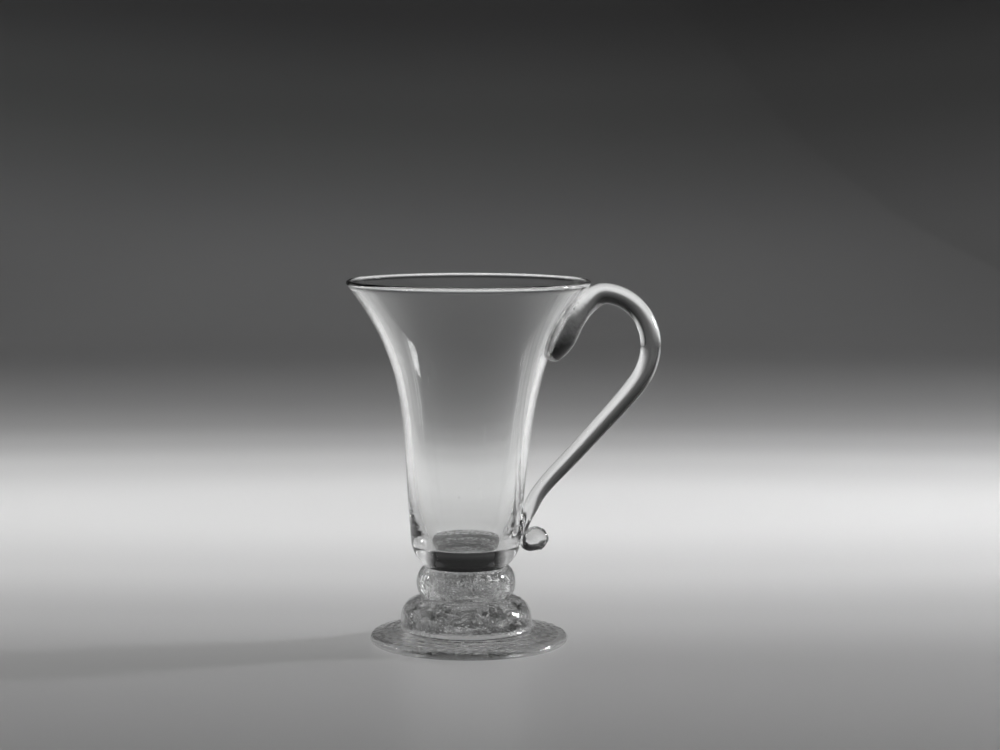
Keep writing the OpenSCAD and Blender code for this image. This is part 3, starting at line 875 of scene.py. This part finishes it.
def makeScar():
    # a turned dish with a ragged outline and a broken lower face
    crownZ, lowZ, scarR = scarHigh[2], scarLow[2], footForm["scarR"]
    deep = crownZ - lowZ
    share = np.linspace(0, 1, scarForm["rows"])[1:]
    # lower face: a dish that falls to a ragged rim, then a short side up to the crown
    dish = np.stack([share * scarR * 0.93, lowZ + deep * scarForm["dish"] * (1 - share**2)], -1)
    side = bezier([dish[-1], (scarR, lowZ), (scarR, lowZ + 0.3 * deep), (scarR, crownZ)], 10,
                  skipFirst=True)
    top = flatDisc(scarR, crownZ, 6)[::-1]
    line = np.concatenate([[[0, lowZ + deep * scarForm["dish"]]], dish, side, top])
    slots = np.zeros(len(line), int)
    slots[len(line) - len(top) - 1:] = seamSlot

    def scarRipple(radius, height, angle):
        # waves of three lengths draw the outline in, and crossed waves break the lower face
        out = np.sin(3 * angle + 0.35) * 0.5 + np.sin(8 * angle) * 0.3 + np.sin(13 * angle + 2) * 0.2
        ragged = -0.05 * radius * (0.5 + 0.5 * out)
        broken = np.sin(radius * 2.1 + 3 * np.sin(4 * angle)) + np.sin(radius * 3.7 - 5 * angle)
        free = smoothStep(crownZ - 0.05, crownZ - 0.4, height)
        return ragged, scarForm["rough"] * broken * free

    angles = turnAngles(scarForm["cols"])
    points, quads, fans, quadSlots, fanSlots = closedTurn(line, slots, angles, scarRipple)
    points[:, 0] += leanOf(points[:, 2])
    points[:, 2] = np.maximum(points[:, 2], lowZ - 0.2)
    faces = quads.tolist() + fans.tolist()
    slots = np.concatenate([quadSlots, fanSlots])
    piece = addPiece("pontil_scar", points, faces, slots, [scarGlass, fusedSeam])
    settle(piece, "pontil_scar")


makeScar()


# stage: pale paper that rises all round, far from the glass, with a painted pool of light that fades into
# painted shade
stageForm = {
    "wallR": 1.5, "bendR": 0.5, "tall": 3.0, "rough": 0.32, "shine": 0.35, "cols": 128,
    "paintedLightCentre": (0.0, 0.27, 0.0), "weights": (0.35, 1.0, 2.5),
    # weighted distance from the centre of the painted pool of light in metres, and the paper's grey there,
    # which paints the light falling off into shade
    "paintedLightGreys": [(0.05, 0.80), (0.15, 0.66), (0.23, 0.50), (0.31, 0.38), (0.42, 0.33), (0.60, 0.32),
              (0.93, 0.37), (1.20, 0.20), (1.34, 0.13), (1.60, 0.03), (3.0, 0.01)]}


def makeStage(form):
    # a turned floor, bend and wall, whose painted light and shade depend on the weighted distance from the
    # centre of the painted pool of light
    a = np.linspace(0, np.pi / 2, 16)
    bend = np.stack([form["wallR"] - form["bendR"] + form["bendR"] * np.sin(a),
                     form["bendR"] - form["bendR"] * np.cos(a)], -1)
    line = np.concatenate([[[0, 0], [0.1, 0], [0.5, 0]], bend, [[form["wallR"], form["tall"]]]])[::-1]
    rings = revolve(line[:-1], turnAngles(form["cols"]))
    rows, count = rings.shape[:2]
    points = np.concatenate([rings.reshape(-1, 3), [[0, 0, 0]]])
    i = np.arange(rows - 1)[:, None] * count
    j = np.arange(count)[None, :]
    k = (j + 1) % count
    quads = np.stack([i + j, i + k, i + count + k, i + count + j], -1).reshape(-1, 4)
    end = (rows - 1) * count
    fan = np.stack([end + j[0], end + k[0], np.full(count, rows * count)], -1)
    paper = bpy.data.materials.new("stagePaintedLight")
    paper.use_nodes = True
    tree = paper.node_tree
    shader = tree.nodes["Principled BSDF"]
    shader.inputs["Roughness"].default_value = form["rough"]
    shader.inputs["Specular IOR Level"].default_value = form["shine"]
    place = addNode(tree, "ShaderNodeTexCoord")
    weigh = addNode(tree, "ShaderNodeVectorMath", operation="MULTIPLY")
    weigh.inputs[1].default_value = form["weights"]
    away = addNode(tree, "ShaderNodeVectorMath", operation="DISTANCE")
    away.inputs[1].default_value = form["paintedLightCentre"]
    farthest = form["paintedLightGreys"][-1][0]
    share = addNode(tree, "ShaderNodeMath", operation="DIVIDE")
    share.inputs[1].default_value = farthest
    # painted light: the ramp's greys paint the pool of light on the paper and its fall into shade
    paintedLightRamp = addNode(tree, "ShaderNodeValToRGB")
    paintedLightRamp.color_ramp.interpolation = "EASE"
    for distance, level in form["paintedLightGreys"][1:-1]:
        paintedLightRamp.color_ramp.elements.new(distance / farthest)
    for stop, (distance, level) in zip(paintedLightRamp.color_ramp.elements, form["paintedLightGreys"]):
        stop.position = distance / farthest
        stop.color = (level, level, level, 1)
    tree.links.new(place.outputs["Object"], weigh.inputs[0])
    tree.links.new(weigh.outputs["Vector"], away.inputs[0])
    tree.links.new(away.outputs["Value"], share.inputs[0])
    tree.links.new(share.outputs[0], paintedLightRamp.inputs["Fac"])
    tree.links.new(paintedLightRamp.outputs["Color"], shader.inputs["Base Color"])
    mesh = bpy.data.meshes.new("stage")
    mesh.from_pydata(points.tolist(), [], quads.tolist() + fan.tolist())
    mesh.materials.append(paper)
    mesh.polygons.foreach_set("use_smooth", np.ones(len(mesh.polygons), bool))
    mesh.update()
    stage = bpy.data.objects.new("stage", mesh)
    bpy.context.scene.collection.objects.link(stage)


makeStage(stageForm)


# lights: two soft lamps for the table, soft-edged cards and strips left and right that the glass mirrors,
# a small key on each side, and a dim room
lightForm = {
    "lamps": [
        {"name": "lampRight", "place": (0.42, 0.24, 0.54), "aim": (0, 0.20, 0),
         "size": 0.26, "power": 2.80},
        {"name": "lampLeft", "place": (-0.42, 0.24, 0.54), "aim": (0, 0.20, 0),
         "size": 0.26, "power": 2.72}],
    "panels": [
        {"name": "cardRight", "place": (0.78, 0.545, 0.20), "aim": (0, 0, 0.06),
         "size": (1.1, 0.6), "glow": 0.55},
        {"name": "cardLeft", "place": (-0.78, 0.545, 0.20), "aim": (0, 0, 0.06),
         "size": (1.1, 0.6), "glow": 0.35},
        {"name": "stripRight", "place": (0.86, 0.40, 0.22), "aim": (0, 0, 0.06),
         "size": (0.12, 0.5), "glow": 4.0},
        {"name": "stripLeft", "place": (-0.86, 0.40, 0.22), "aim": (0, 0, 0.06),
         "size": (0.12, 0.5), "glow": 3.0},
        {"name": "keyRight", "place": (0.93, 0.25, 0.36), "aim": (0, 0, 0.07),
         "size": (0.14, 0.20), "glow": 130.0},
        {"name": "keyLeft", "place": (-0.93, 0.25, 0.36), "aim": (0, 0, 0.07),
         "size": (0.03, 0.08), "glow": 300.0}],
    "room": 0.05}


def makeLamp(form):
    # a soft square lamp that reaches the table through the clear glass
    data = bpy.data.lights.new(form["name"], "AREA")
    data.size = form["size"]
    data.energy = form["power"]
    data.use_shadow = False
    lamp = bpy.data.objects.new(form["name"], data)
    lamp.location = form["place"]
    lamp.rotation_euler = (Vector(form["aim"]) - Vector(form["place"])).to_track_quat("-Z", "Y").to_euler()
    lamp.visible_camera = lamp.visible_glossy = lamp.visible_transmission = False
    bpy.context.scene.collection.objects.link(lamp)


def makePanel(form):
    # a lit rectangle whose glow falls to nothing at its edges
    place, aim = Vector(form["place"]), Vector(form["aim"])
    facing = (aim - place).normalized()
    side = facing.cross(Vector((0, 0, 1))).normalized()
    up = side.cross(facing)
    half = [(-1, -1), (1, -1), (1, 1), (-1, 1)]
    corners = [place + side * (u * form["size"][0] / 2) + up * (v * form["size"][1] / 2) for u, v in half]
    mesh = bpy.data.meshes.new(form["name"])
    mesh.from_pydata([tuple(c) for c in corners], [], [(0, 1, 2, 3)])
    uv = mesh.uv_layers.new(name="across")
    uv.data.foreach_set("uv", np.array([(u, v) for u, v in half], float).ravel())
    glow = bpy.data.materials.new(form["name"])
    glow.use_nodes = True
    tree = glow.node_tree
    tree.nodes.remove(tree.nodes["Principled BSDF"])
    light = addNode(tree, "ShaderNodeEmission")
    across = addNode(tree, "ShaderNodeUVMap", uv_map="across")
    parts = addNode(tree, "ShaderNodeSeparateXYZ")
    tree.links.new(across.outputs["UV"], parts.inputs["Vector"])
    fades = []
    for axis in ("X", "Y"):
        size = addNode(tree, "ShaderNodeMath", operation="ABSOLUTE")
        tree.links.new(parts.outputs[axis], size.inputs[0])
        fade = addNode(tree, "ShaderNodeMapRange", interpolation_type="SMOOTHSTEP")
        fade.inputs["From Min"].default_value = 1.0
        fade.inputs["From Max"].default_value = 0.35
        tree.links.new(size.outputs[0], fade.inputs["Value"])
        fades.append(fade.outputs["Result"])
    both = addNode(tree, "ShaderNodeMath", operation="MULTIPLY")
    tree.links.new(fades[0], both.inputs[0])
    tree.links.new(fades[1], both.inputs[1])
    power = addNode(tree, "ShaderNodeMath", operation="MULTIPLY")
    tree.links.new(both.outputs[0], power.inputs[0])
    power.inputs[1].default_value = form["glow"]
    tree.links.new(power.outputs[0], light.inputs["Strength"])
    tree.links.new(light.outputs["Emission"], tree.nodes["Material Output"].inputs["Surface"])
    mesh.materials.append(glow)
    panel = bpy.data.objects.new(form["name"], mesh)
    panel.visible_camera = False
    bpy.context.scene.collection.objects.link(panel)


for lampForm in lightForm["lamps"]:
    makeLamp(lampForm)
for panelForm in lightForm["panels"]:
    makePanel(panelForm)

room = bpy.data.worlds.new("room")
bpy.context.scene.world = room
room.use_nodes = True
room.node_tree.nodes["Background"].inputs["Color"].default_value = (lightForm["room"],) * 3 + (1,)
print("stage and lights set")

look = bpy.context.scene
look.view_settings.view_transform = "Standard"
look.cycles.max_bounces = 48
look.cycles.transmission_bounces = 48
look.cycles.glossy_bounces = 16
look.cycles.transparent_max_bounces = 64
